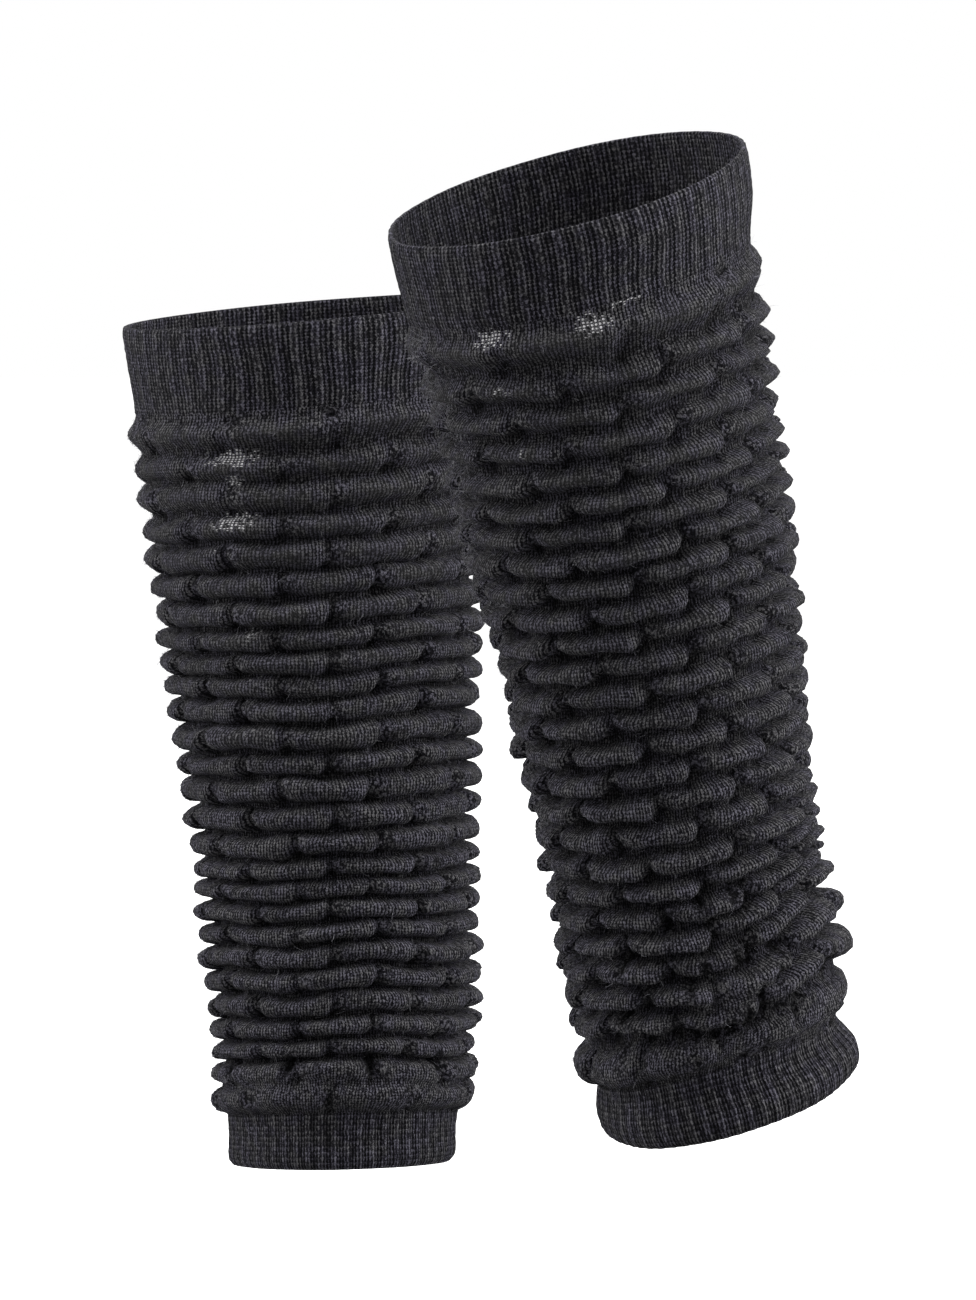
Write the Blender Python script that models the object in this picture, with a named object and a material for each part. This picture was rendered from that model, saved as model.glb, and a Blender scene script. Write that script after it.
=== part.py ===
"""Pair of leg warmers in ruched wool knit, filled out as on the leg with nobody in them.

Each warmer is one knitted tube in three pieces: a ribbed cuff at the calf, a body of stacked
rolls that are pinched into puffs like bricks, and a ribbed cuff at the ankle. Every piece is a
closed loft of rings along a leaning axis, with its relief on the outside and a plain inside.
The origin is the middle of the left calf cuff, where the leg holds the warmer up.
Sizes are in millimetres here and become metres when a mesh is written.
"""

import math

import bmesh
import bpy
import numpy as np

for thing in list(bpy.data.objects):
    bpy.data.objects.remove(thing, do_unlink=True)

TO_METRES = 0.001
SEAM_GAP = 0.3

# Ribbed cuffs: 2 x 2 rib, one ridge and one furrow to a repeat.
CUFF_WALL = 2.0
RIB_REPEATS = 56
RIB_RELIEF = 0.8

# Body: puffs round each roll, and how the rolls are rounded, pinched and staggered.
BODY_WALL = 2.2
PUFFS_ROUND = 10
COLUMNS_PER_PUFF = 4
RINGS_PER_ROLL = 3
ROLL_ROUNDNESS = 0.6
ROLL_SAG = 0.06
PUFF_PINCH = 0.34
PUFF_PINCH_REACH = 0.11
PIT_DEPTH = 0.8
INNER_STATIONS = (0.0, 0.03, 0.22, 0.5, 0.76, 1.0)

# Rings from the ankle hem to the calf rim. Rise, across and back place the ring's middle, the
# half sizes are the wall's outside at the foot of its rolls, tilt lifts the ring's right side
# and nod lifts its back, in degrees.
SECTION_COLUMNS = ("rise", "across", "back", "half_width", "half_depth", "tilt", "nod")
LEFT_SECTIONS = (
    (-287.5, 11.5, -4.5, 41.0, 39.4, 1.2, -4.2),
    (-271.0, 11.5, -4.0, 41.0, 39.4, 1.2, -4.0),
    (-262.5, 11.8, -3.5, 42.2, 40.5, 1.4, -3.8),
    (-246.0, 11.6, -3.0, 41.6, 40.0, 1.8, -3.3),
    (-212.0, 10.6, -0.5, 43.6, 41.8, 2.5, -2.5),
    (-172.0, 8.6, 1.0, 45.4, 43.5, 2.8, -1.5),
    (-135.5, 6.2, 2.0, 48.6, 46.2, 3.0, -0.7),
    (-98.0, 3.8, 2.5, 52.2, 49.0, 3.7, 0.2),
    (-62.5, 1.8, 2.5, 56.0, 52.0, 4.2, 1.0),
    (-25.0, 0.5, 1.5, 61.0, 56.2, 4.6, 1.8),
    (-14.5, 0.5, 1.0, 62.7, 57.7, 4.7, 2.0),
    (1.5, 0.0, 0.0, 64.8, 59.4, 4.8, 2.5),
    (15.0, -1.0, -1.0, 65.3, 60.0, 4.8, 2.7),
)
RIGHT_SECTIONS = (
    (-246.5, 145.0, -132.5, 44.0, 42.0, 15.5, 9.8),
    (-238.5, 143.0, -134.0, 44.4, 42.4, 15.5, 9.7),
    (-230.0, 140.0, -135.0, 41.6, 40.0, 15.4, 9.5),
    (-220.5, 138.5, -137.0, 42.8, 41.0, 15.3, 9.5),
    (-213.5, 138.0, -138.0, 42.6, 40.8, 15.0, 9.6),
    (-173.5, 130.2, -145.5, 40.4, 39.0, 14.5, 9.8),
    (-132.5, 123.2, -153.0, 42.0, 40.4, 14.2, 10.0),
    (-84.5, 116.0, -161.5, 45.8, 43.6, 13.8, 10.3),
    (-37.5, 106.4, -170.0, 50.2, 47.2, 13.4, 10.7),
    (-4.0, 99.9, -176.5, 52.8, 49.2, 13.2, 11.0),
    (19.5, 95.0, -181.5, 55.6, 51.2, 13.2, 11.4),
    (30.0, 92.5, -183.5, 57.4, 52.8, 13.3, 11.7),
    (43.5, 91.0, -186.5, 59.4, 54.6, 13.6, 12.4),
    (57.5, 88.5, -189.5, 60.0, 56.0, 13.9, 13.2),
)

# Rolls from the ankle up: how tall each is along the axis and how far it stands out.
ROLL_COLUMNS = ("height", "bulge")
LEFT_ROLLS = (
    (11.2, 5.3), (9.0, 5.5), (7.6, 6.0), (8.4, 6.2), (9.0, 6.0), (8.6, 6.2), (9.0, 6.5),
    (8.4, 6.0), (8.6, 6.2), (8.2, 6.5), (7.8, 6.0), (9.2, 6.5), (9.6, 6.2), (10.0, 6.5),
    (8.4, 6.0), (10.4, 6.5), (9.2, 6.0), (8.2, 5.8), (8.4, 6.0), (8.8, 5.8), (10.4, 5.8),
    (9.8, 5.3), (10.8, 5.0), (10.2, 4.6), (12.2, 4.3), (10.6, 3.8), (14.2, 3.4),
)
RIGHT_ROLLS = (
    (20.6, 5.0), (10.0, 6.0), (9.6, 6.7), (8.6, 7.0), (8.4, 7.0), (8.6, 6.7), (8.8, 6.7),
    (10.0, 7.0), (10.6, 6.7), (9.6, 6.5), (9.6, 6.7), (9.4, 6.5), (9.6, 6.7), (10.2, 6.5),
    (9.8, 6.5), (9.2, 6.2), (9.4, 6.5), (9.2, 6.2), (9.0, 6.0), (9.0, 6.0), (9.2, 5.8),
    (10.4, 5.8), (10.8, 5.3), (10.2, 5.0), (10.6, 4.6), (18.0, 4.1),
)

# Where the pinches of the first roll stand at the ankle and at the calf, in degrees from the
# front toward the right. Wave is how far a roll's edge swings round its puffs, and slide is how
# far each puff's left end rides up and its right end down, both as shares of the roll's height.
LEFT_PINCHES = {"ankle": -5.0, "calf": 9.0, "wave": 0.05, "slide": 0.03}
RIGHT_PINCHES = {"ankle": 0.0, "calf": 26.0, "wave": 0.08, "slide": 0.10}

# Where a body is pushed together its puffs swell: the middle and reach of each swelling, in
# millimetres up the axis and degrees round, and how much more its puffs stand out.
SWELL_COLUMNS = ("height", "angle", "reach_up", "reach_round", "more")
LEFT_SWELLS = (
    (24.0, 95.0, 10.0, 40.0, 0.12),
    (66.0, 88.0, 12.0, 30.0, 0.15),
)
RIGHT_SWELLS = (
    (48.0, 35.0, 16.0, 40.0, 0.25),
    (44.0, 100.0, 10.0, 35.0, 0.12),
    (33.0, -90.0, 8.0, 40.0, 0.12),
)

# How tall the ankle cuffs are along the axis. The calf cuffs take what the rolls leave.
LEFT_ANKLE_CUFF = 16.8
RIGHT_ANKLE_CUFF = 17.6


def namedColumns(names, rows):
    """The rows of a table as one array for each named column."""
    return dict(zip(names, np.array(rows, float).T))


def smoothAlong(stations, values, wanted):
    """Values at the wanted distances, on a smooth curve through the stations."""
    slopes = np.gradient(values, stations)
    cell = np.clip(np.searchsorted(stations, wanted, side="right") - 1, 0, len(stations) - 2)
    step = stations[cell + 1] - stations[cell]
    t = (wanted - stations[cell]) / step
    here = (1 + 2 * t) * (1 - t) ** 2 * values[cell] + t * (1 - t) ** 2 * step * slopes[cell]
    there = t * t * (3 - 2 * t) * values[cell + 1] + t * t * (t - 1) * step * slopes[cell + 1]
    return here + there


class Leg:
    """The leaning tube that the pieces of one warmer lie on."""

    def __init__(self, sections):
        self.table = namedColumns(SECTION_COLUMNS, sections)
        middles = np.stack([self.table[name] for name in ("across", "back", "rise")], axis=1)
        runs = np.linalg.norm(np.diff(middles, axis=0), axis=1)
        self.along = np.concatenate([[0.0], np.cumsum(runs)])
        self.length = self.along[-1]

    def points(self, along, angle, outward):
        """Points at a distance along the axis and an angle from the front toward the right,
        moved outward from the wall. The three arrays have one shape."""
        at = {name: smoothAlong(self.along, column, along) for name, column in self.table.items()}
        tilt = np.radians(at["tilt"])
        nod = np.radians(at["nod"])
        right = np.sin(angle) * (at["half_width"] + outward)
        away = -np.cos(angle) * (at["half_depth"] + outward)
        x = at["across"] + right * np.cos(tilt)
        y = at["back"] + away * np.cos(nod)
        z = at["rise"] + right * np.sin(tilt) + away * np.sin(nod)
        return np.stack([x, y, z], axis=-1)


def loft(rings):
    """A closed mesh through rings of equal count, the last one joined back to the first."""
    mesh = bmesh.new()
    made = [[mesh.verts.new(point * TO_METRES) for point in ring] for ring in rings]
    for ring, following in zip(made, made[1:] + made[:1]):
        for column in range(len(ring)):
            after = (column + 1) % len(ring)
            mesh.faces.new((ring[column], ring[after], following[after], following[column]))
    return mesh


def cuffRings(leg, start, end, outerCount):
    """Ridged rings up the outside, then plain rings down the inside."""
    columns = 2 * RIB_REPEATS
    angle = 2 * math.pi * np.arange(columns) / columns
    furrow = np.where(np.arange(columns) % 2 == 0, 0.0, -RIB_RELIEF)
    outside = [
        leg.points(np.full(columns, along), angle, furrow)
        for along in np.linspace(start, end, outerCount)
    ]
    inside = [
        leg.points(np.full(columns, along), angle, np.full(columns, -CUFF_WALL))
        for along in (end, start)
    ]
    return outside + inside


def bodyRings(leg, start, rolls, pinches, swells):
    """Rolled and pinched rings up the outside, then plain rings down the inside."""
    table = namedColumns(ROLL_COLUMNS, rolls)
    edges = start + np.concatenate([[0.0], np.cumsum(table["height"])])
    columns = PUFFS_ROUND * COLUMNS_PER_PUFF
    turn = 2 * math.pi * np.arange(columns) / columns
    swellings = [dict(zip(SWELL_COLUMNS, row)) for row in swells]
    outside = []
    for step in range(len(rolls) * RINGS_PER_ROLL + 1):
        roll = min(step // RINGS_PER_ROLL, len(rolls) - 1)
        share = step / RINGS_PER_ROLL - roll
        height = table["height"][roll]
        level = step / RINGS_PER_ROLL
        climb = (edges[roll] + share * height - start) / (edges[-1] - start)
        phase = math.radians(pinches["ankle"] + climb * (pinches["calf"] - pinches["ankle"]))
        angle = turn + phase
        # Even rolls are pinched where a column count is a whole number of puffs, odd rolls
        # half a puff on. The roll's edge waves so that each puff fills the pinch beside it.
        around = PUFFS_ROUND * turn / (2 * math.pi)
        ends = min(1.0, level, len(rolls) - level)
        wave = -pinches["wave"] * ends * np.cos(2 * math.pi * around) * math.cos(math.pi * level)
        along = edges[roll] + share * height
        inPuff = around + 0.5 * (roll % 2)
        fromPinch = np.abs(inPuff - np.round(inPuff))
        pinch = 1 - PUFF_PINCH * np.exp(-((fromPinch / PUFF_PINCH_REACH) ** 2))
        lobe = (1 - abs(2 * share - 1) ** 2.2) ** ROLL_ROUNDNESS if 0 < share < 1 else 0.0
        bulge = np.full(columns, table["bulge"][roll])
        for swelling in swellings:
            turned = (np.degrees(angle) - swelling["angle"] + 180) % 360 - 180
            up = (along - swelling["height"]) / swelling["reach_up"]
            near = np.exp(-(up**2) - (turned / swelling["reach_round"]) ** 2)
            bulge = bulge * (1 + swelling["more"] * near)
        outward = bulge * lobe * pinch
        if share == 0:
            outward = outward - PIT_DEPTH * ends * np.exp(-((fromPinch / PUFF_PINCH_REACH) ** 2))
        slide = pinches["slide"] * lobe * np.sin(2 * math.pi * inPuff)
        along = along + (wave + slide) * height - ROLL_SAG * outward
        along = np.clip(along, edges[0], edges[-1])
        outside.append(leg.points(along, angle, outward))
    inside = []
    for share in reversed(INNER_STATIONS):
        along = edges[0] + share * (edges[-1] - edges[0])
        phase = pinches["ankle"] + share * (pinches["calf"] - pinches["ankle"])
        angle = turn + math.radians(phase)
        inside.append(leg.points(np.full(columns, along), angle, np.full(columns, -BODY_WALL)))
    return outside + inside, edges[-1]


def makeMaterial(name, colour, roughness):
    material = bpy.data.materials.new(name)
    material.use_nodes = True
    shader = material.node_tree.nodes["Principled BSDF"]
    shader.inputs["Base Color"].default_value = (*colour, 1.0)
    shader.inputs["Roughness"].default_value = roughness
    shader.inputs["Metallic"].default_value = 0.0
    return material


def addPiece(collection, name, rings, material):
    mesh = loft(rings)
    bmesh.ops.recalc_face_normals(mesh, faces=mesh.faces)
    if mesh.calc_volume(signed=True) < 0:
        bmesh.ops.reverse_faces(mesh, faces=mesh.faces)
    data = bpy.data.meshes.new(name)
    mesh.to_mesh(data)
    mesh.free()
    data.materials.append(material)
    data.shade_smooth()
    data.set_sharp_from_angle(angle=math.radians(50))
    piece = bpy.data.objects.new(name, data)
    collection.objects.link(piece)


def addWarmer(collection, side, sections, rolls, pinches, swells, ankleCuff):
    leg = Leg(sections)
    body, bodyEnd = bodyRings(leg, ankleCuff, rolls, pinches, swells)
    ankle = cuffRings(leg, 0.0, ankleCuff - SEAM_GAP, 2)
    calf = cuffRings(leg, bodyEnd + SEAM_GAP, leg.length, 3)
    for piece, rings, colour in (
        ("bottom_cuff", ankle, (0.026, 0.025, 0.029)),
        ("body", body, (0.022, 0.0215, 0.025)),
        ("top_cuff", calf, (0.025, 0.024, 0.028)),
    ):
        name = f"{side}_{piece}"
        addPiece(collection, name, rings, makeMaterial(f"{name}_wool", colour, 0.95))


pair = bpy.data.collections.new("leg_warmers")
bpy.context.scene.collection.children.link(pair)
addWarmer(
    pair, "left", LEFT_SECTIONS, LEFT_ROLLS, LEFT_PINCHES, LEFT_SWELLS, LEFT_ANKLE_CUFF
)
addWarmer(
    pair, "right", RIGHT_SECTIONS, RIGHT_ROLLS, RIGHT_PINCHES, RIGHT_SWELLS, RIGHT_ANKLE_CUFF
)
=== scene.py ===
import math
from functools import partial

import bpy
import numpy as np
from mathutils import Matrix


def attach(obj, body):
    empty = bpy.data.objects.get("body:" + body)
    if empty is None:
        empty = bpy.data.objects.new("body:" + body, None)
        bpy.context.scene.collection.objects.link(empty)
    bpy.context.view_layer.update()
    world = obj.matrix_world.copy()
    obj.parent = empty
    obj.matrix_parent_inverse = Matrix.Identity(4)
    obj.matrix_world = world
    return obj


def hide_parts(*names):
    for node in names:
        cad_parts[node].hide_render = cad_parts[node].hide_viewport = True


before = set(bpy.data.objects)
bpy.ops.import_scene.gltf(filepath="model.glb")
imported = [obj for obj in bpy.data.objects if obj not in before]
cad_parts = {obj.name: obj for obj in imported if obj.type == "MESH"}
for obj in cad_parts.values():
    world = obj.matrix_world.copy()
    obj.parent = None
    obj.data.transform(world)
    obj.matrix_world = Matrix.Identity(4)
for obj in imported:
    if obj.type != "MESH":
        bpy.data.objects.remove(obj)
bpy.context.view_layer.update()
print("frame loaded:", ", ".join(sorted(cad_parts)))

# Lengths below are in millimetres unless a name says otherwise. Meshes are written in metres.
# Angles go from the front toward the right, in degrees in the tables and in radians on the grids.
toMetres = 0.001


# The leg that each warmer is filled out by. Rows go from the ankle hem to the calf rim: rise,
# across and back place a ring's middle, tilt lifts its right side and nod lifts its back.
sectionColumns = ("rise", "across", "back", "halfWidth", "halfDepth", "tilt", "nod")
leftLeg = {
    "sections": (
        (-287.5, 11.5, -4.5, 41, 39.4, 1.2, -4.2),
        (-271, 11.5, -4, 41, 39.4, 1.2, -4),
        (-262.5, 11.8, -3.5, 42.2, 40.5, 1.4, -3.8),
        (-246, 11.6, -3, 41.6, 40, 1.8, -3.3),
        (-212, 10.6, -0.5, 43.6, 41.8, 2.5, -2.5),
        (-172, 8.6, 1, 45.4, 43.5, 2.8, -1.5),
        (-135.5, 6.2, 2, 48.6, 46.2, 3, -0.7),
        (-98, 3.8, 2.5, 52.2, 49, 3.7, 0.2),
        (-62.5, 1.8, 2.5, 56, 52, 4.2, 1),
        (-25, 0.5, 1.5, 61, 56.2, 4.6, 1.8),
        (-14.5, 0.5, 1, 62.7, 57.7, 4.7, 2),
        (1.5, 0, 0, 64.8, 59.4, 4.8, 2.5),
        (15, -1, -1, 65.3, 60, 4.8, 2.7),
    ),
    "seam": {"rise": 3.6, "middle": 0.0, "reach": 75.0},
}
rightLeg = {
    "sections": (
        (-246.5, 145, -132.5, 44, 42, 15.5, 9.8),
        (-238.5, 143, -134, 44.4, 42.4, 15.5, 9.7),
        (-230, 140, -135, 41.6, 40, 15.4, 9.5),
        (-220.5, 138.5, -137, 42.8, 41, 15.3, 9.5),
        (-213.5, 138, -138, 42.6, 40.8, 15, 9.6),
        (-173.5, 130.2, -145.5, 40.4, 39, 14.5, 9.8),
        (-132.5, 123.2, -153, 42, 40.4, 14.2, 10),
        (-84.5, 116, -161.5, 45.8, 43.6, 13.8, 10.3),
        (-37.5, 106.4, -170, 50.2, 47.2, 13.4, 10.7),
        (-4, 99.9, -176.5, 52.8, 49.2, 13.2, 11),
        (19.5, 95, -181.5, 55.6, 51.2, 13.2, 11.4),
        (30, 92.5, -183.5, 57.4, 52.8, 13.3, 11.7),
        (43.5, 91, -186.5, 59.4, 54.6, 13.6, 12.4),
        (57.5, 88.5, -189.5, 60, 56, 13.9, 13.2),
    ),
    "seam": {"rise": 5.5, "middle": 5.0, "reach": 62.0},
}


def smoothAlong(stations, values, wanted):
    # A cubic through the stations, with the slopes that their neighbours give.
    slopes = np.gradient(values, stations)
    cell = np.clip(np.searchsorted(stations, wanted, side="right") - 1, 0, len(stations) - 2)
    step = stations[cell + 1] - stations[cell]
    t = (wanted - stations[cell]) / step
    here = (1 + 2 * t) * (1 - t) ** 2 * values[cell] + t * (1 - t) ** 2 * step * slopes[cell]
    there = t * t * (3 - 2 * t) * values[cell + 1] + t * t * (t - 1) * step * slopes[cell + 1]
    return here + there


def legPoints(leg, height, angle, outward):
    # An ellipse of the section's half sizes plus outward, turned by tilt and nod about its
    # middle: right = sin(angle) * width, away = -cos(angle) * depth.
    height, angle, outward = np.broadcast_arrays(height, angle, outward)
    at = {
        name: smoothAlong(leg["stations"], column, height) for name, column in leg["table"].items()
    }
    tilt, nod = np.radians(at["tilt"]), np.radians(at["nod"])
    right = np.sin(angle) * (at["halfWidth"] + outward)
    away = -np.cos(angle) * (at["halfDepth"] + outward)
    x = at["across"] + right * np.cos(tilt)
    y = at["back"] + away * np.cos(nod)
    z = at["rise"] + right * np.sin(tilt) + away * np.sin(nod)
    return np.stack([x, y, z], axis=-1)


for leg in (leftLeg, rightLeg):
    # Stations are distances along the axis to each section: what a height on the leg means.
    leg["table"] = dict(zip(sectionColumns, np.array(leg["sections"], float).T))
    middles = np.stack([leg["table"][name] for name in ("across", "back", "rise")], axis=1)
    runs = np.linalg.norm(np.diff(middles, axis=0), axis=1)
    leg["stations"] = np.concatenate([[0.0], np.cumsum(runs)])
    leg["length"] = leg["stations"][-1]
print("legs measured: %.0f and %.0f mm along the axis" % (leftLeg["length"], rightLeg["length"]))


def turnedBy(angle, middle):
    # Degrees from middle to angle, which is in radians, the short way round.
    return (np.degrees(angle) - middle + 180) % 360 - 180


def seamRise(leg, angle):
    # The seam over the ankle cuff is pulled up at the front: rise x exp(-(turn / reach)^2).
    seam = leg["seam"]
    return seam["rise"] * np.exp(-((turnedBy(angle, seam["middle"]) / seam["reach"]) ** 2))


# Mean radius of a warmer in mm, for turning lengths round it into angles and back.
girthRadius = 52.0


def ripple(seed, angle, height, finest, coarsest, waves=48):
    # Uneven relief about 1 in size: a sum of cosines that close round the tube. Each runs in
    # its own direction, with a wavelength between finest and coarsest.
    dice = np.random.default_rng(seed)
    length = np.exp(dice.uniform(math.log(finest), math.log(coarsest), waves))
    heading = dice.uniform(0, 2 * math.pi, waves)
    start = dice.uniform(0, 2 * math.pi, waves)
    total = np.zeros(np.broadcast(angle, height).shape)
    for size, way, phase in zip(length, heading, start):
        turns = round(2 * math.pi * girthRadius / size * math.cos(way))
        total = total + np.cos(turns * angle + 2 * math.pi / size * math.sin(way) * height + phase)
    return total / math.sqrt(waves / 2)


def addPiece(name, points, corners, starts):
    # A piece from its points, the corners of its faces in a row and where each face starts.
    mesh = bpy.data.meshes.new(name)
    points = (points * toMetres).astype(np.float32).ravel()
    mesh.vertices.add(len(points) // 3)
    mesh.vertices.foreach_set("co", points)
    mesh.loops.add(len(corners))
    mesh.loops.foreach_set("vertex_index", corners.astype(np.int32))
    mesh.polygons.add(len(starts))
    mesh.polygons.foreach_set("loop_start", starts.astype(np.int32))
    mesh.update(calc_edges=True)
    mesh.validate()
    piece = bpy.data.objects.new(name, mesh)
    bpy.context.scene.collection.objects.link(piece)
    return piece


def knitTube(name, rings, wales, stitches, marks):
    # A wall that closes on itself: rings go up the outside and down the inside, and the last
    # joins the first. Stitches has each point's wale and course, for the knit's own UV map,
    # and marks are values that the wool's material reads.
    here = np.arange(rings[..., 0].size).reshape(rings.shape[:2])
    beside = np.roll(here, -1, axis=1)
    corners = [here, beside, np.roll(beside, -1, axis=0), np.roll(here, -1, axis=0)]
    corners = np.stack(corners, axis=-1).ravel()
    piece = addPiece(name, rings, corners, np.arange(0, corners.size, 4))
    mesh = piece.data
    wale, course = stitches
    wale = np.concatenate([wale, wale[:, :1] + wales], axis=1)
    course = np.concatenate([course, course[:, :1]], axis=1)
    wale, course = np.concatenate([wale, wale[:1]]), np.concatenate([course, course[-1:]])
    grid = np.stack([wale, course], axis=-1)
    flat = np.stack([grid[:-1, :-1], grid[:-1, 1:], grid[1:, 1:], grid[1:, :-1]], axis=2)
    mesh.uv_layers.new(name="stitches").uv.foreach_set("vector", flat.astype(np.float32).ravel())
    for mark, values in marks.items():
        attribute = mesh.attributes.new(mark, "FLOAT", "POINT")
        attribute.data.foreach_set("value", values.astype(np.float32).ravel())
    mesh.polygons.foreach_set("use_smooth", np.ones(len(mesh.polygons), bool))
    return piece


# Wales round each piece, and the height of a course in the rolls. The ends are ribbed two and two
# on fewer needles, and their courses have heights of their own.
bodyWales = 280
cuffWales = 224
ribsRound = 56
courseHeight = 1.24

# Bodies: the rolls go from the ankle up, each with its height along the leg and how far it
# stands out. Ten puffs go round a roll, and the pinches between them stand half a puff on in
# every other roll, on the same few wales from ankle to calf, turning from anklePinch to calfPinch.
# Swells, lifts and thinSpots have rows of height, angle, reach up, reach round and how much.
# Joins, where two rolls run together, have the valley's number, angle, reach round and share.
# Puckers have height, angle and how deep. From flatFrom to flatTo the rolls turn flat and plain.
# A puff narrows by narrowing and sinks by pinchDepth over leftReach and rightReach from its ends,
# and each pinch has its own share of that, faint or more. Slim makes the creases wider, step is
# how far puffs stand above their neighbours, and softFoot is how gently the lowest roll ends.
puffsRound = 10
leftBody = {
    "start": 16.8,
    "rolls": (
        (11.2, 5.3), (9, 5.5), (7.6, 6), (8.4, 6.2), (9, 6), (8.6, 6.2), (9, 6.5),
        (8.4, 6), (8.6, 6.2), (8.2, 6.5), (7.8, 6), (9.2, 6.5), (9.6, 6.2), (10, 6.5),
        (8.4, 6), (10.4, 6.5), (9.2, 6), (8.2, 5.8), (8.4, 6), (8.8, 5.8), (10.4, 5.8),
        (9.8, 5.3), (10.8, 5), (10.2, 4.6), (12.2, 4.3), (10.6, 3.8), (14.2, 3.4),
    ),
    "anklePinch": -5.0,
    "calfPinch": 9.0,
    "wave": 0.05,
    "slim": 1.19,
    "bend": 1.0,
    "faint": 0.45,
    "flatFrom": 205.0,
    "flatTo": 275.0,
    "narrowing": 0.50,
    "pinchDepth": 0.60,
    "notch": 2.2,
    "leftReach": 7.0,
    "rightReach": 2.8,
    "taper": 0.08,
    "pit": 2.3,
    "pitReach": 2.1,
    "softFoot": 0.6,
    "footAngle": 0.0,
    "step": 0.35,
    "stepMore": 0.0,
    "stepAngle": 20.0,
    "skew": 0.10,
    "crumple": 0.42,
    "swells": (
        (24, 95, 10, 40, 0.12),
        (66, 88, 12, 30, 0.15),
    ),
    "lifts": ((60, 0, 50, 55, 1.6),),
    "joins": ((1, 0, 75, 0.74),),
    "puckers": (
        (26, -46.5, 1.7), (25, -5, 1.8), (24.6, 31, 1.9), (26, 75, 1.6), (24.5, -80, 1.6),
        (25, 120, 1.6), (24, 165, 1.7), (26, -130, 1.6),
        (38, -23.5, 3.6), (37.8, 13, 3.8), (36.8, 47.5, 3.6), (36.4, 84, 2.6), (36.2, 119, 3),
        (36.4, 157, 2.8), (36.6, -60, 3), (36.3, -96, 2.6), (36, -132, 3), (36.2, -168, 2.6),
        (269.1, -24, 0.9), (269.7, 8.5, 1), (268.5, 50, 0.8), (270, -70, 0.8),
        (269, 100, 0.9), (270.5, 150, 0.8), (269, -125, 0.9),
    ),
    "thinSpots": (
        (256.8, -25, 3, 10.5, 1),
        (248.5, -25.5, 2.2, 3.4, 1),
        (234, -26, 3, 8, 1),
        (224.2, -35.5, 1.6, 2.4, 0.45),
        (193.5, -23.5, 2, 4, 0.55),
        (177, -25.5, 1.6, 3, 0.35),
        (158.8, -28, 1.6, 3, 0.30),
        (140.3, -28.5, 1.6, 3, 0.25),
    ),
    "seed": 11,
}
rightBody = {
    "start": 17.6,
    "rolls": (
        (16.8, 4.6), (11.4, 6), (10.8, 6.7), (9.8, 7), (8.4, 7), (8.6, 6.7), (8.8, 6.7),
        (10, 7), (10.6, 6.7), (9.6, 6.5), (9.6, 6.7), (9.4, 6.5), (9.6, 6.7), (10.2, 6.5),
        (9.8, 6.5), (9.2, 6.2), (9.4, 6.5), (9.2, 6.2), (9, 6), (9, 6), (9.2, 5.8),
        (10.4, 5.8), (10.8, 5.3), (10.2, 5), (10.6, 4.6), (18, 4.1),
    ),
    "anklePinch": 0.0,
    "calfPinch": 26.0,
    "wave": 0.06,
    "slim": 1.38,
    "bend": 1.5,
    "faint": 0.75,
    "flatFrom": 190.0,
    "flatTo": 292.0,
    "narrowing": 0.66,
    "pinchDepth": 0.70,
    "notch": 3.2,
    "leftReach": 9.0,
    "rightReach": 3.6,
    "taper": 0.14,
    "pit": 2.5,
    "pitReach": 2.5,
    "softFoot": 1.0,
    "footAngle": 50.0,
    "step": 0.5,
    "stepMore": 1.3,
    "stepAngle": 20.0,
    "skew": 0.28,
    "crumple": 0.42,
    "swells": (
        (48, 35, 16, 40, 0.25),
        (44, 100, 10, 35, 0.12),
        (33, -90, 8, 40, 0.12),
    ),
    "lifts": (
        (60, 74, 24, 42, 11),
        (40, 52, 10, 16, 3),
        (70, 15, 22, 30, -2),
        (38, -55, 14, 35, 3),
    ),
    "joins": ((2, 12, 20, 0.95),),
    "puckers": (
        (24.2, 11.5, 1.2), (25.4, 22, 1.5), (34, -43, 1.8), (29.4, -9, 0.9), (23.5, 64, 1.3),
        (36.8, 0, 2.4), (46.8, -40, 2.4), (39.8, -18, 2.8), (39.6, 14, 3.2), (39.8, 22, 3.4),
        (39.4, 31, 3.2), (43.2, 50, 3.8), (43, 65, 3.4), (46.4, 20.5, 2.6), (50.4, 30, 3),
        (64.8, -34.5, 2.2), (59.8, 15, 3.4), (58.6, 21, 2.8), (58.4, 34, 3), (26.3, 14, 1.2),
        (59.4, 1, 2.2), (76, -12, 2.6), (81.6, 4, 2.6), (81, 19, 2.2), (53.4, -26, 2),
        (38.6, -9, 2.4), (37.4, 7, 2.6), (40.8, 42, 3), (39, -30, 2.4), (53.2, -7, 2),
        (26, 130, 1.2), (25, -160, 1.2), (28, -100, 1.2),
        (282.9, 54.5, 0.9), (271, 61.5, 0.9), (284, 110, 0.9), (283, -110, 0.9),
    ),
    "thinSpots": (
        (282.3, -31, 3, 6.2, 1),
        (281.2, 2.5, 3.2, 6.2, 1),
        (285.2, 14, 1.4, 7, 0.55),
        (264, -33, 1.8, 6, 0.45),
        (242.6, -30, 1.8, 3, 0.30),
    ),
    "seed": 23,
}
# Both bodies, in mm: their wall, the least and most that it stands off the leg, how deep the
# cuffs' ribs are where they run on into the end rolls, and how far they run on.
bodyWall = 1.5
thinnestWall = 0.6
lowestCloth = -0.9
highestHollow = 6.0
ribsRunOn = {"relief": 0.45, "underCalf": 13.0, "overAnkle": 9.0}
# How unequal the puffs are: their ends in puffs, fullness as a share and height in mm.
unequal = {"ends": 0.045, "fullness": 0.11, "height": 0.42}
# Relief: how much in mm, and its finest and coarsest wavelengths. Drift moves the cloth up or down.
fineRelief = (0.10, 2.2, 5.0)
wideRelief = (0.25, 18.0, 60.0)
clothDrift = (0.60, 50.0, 150.0)
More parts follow.
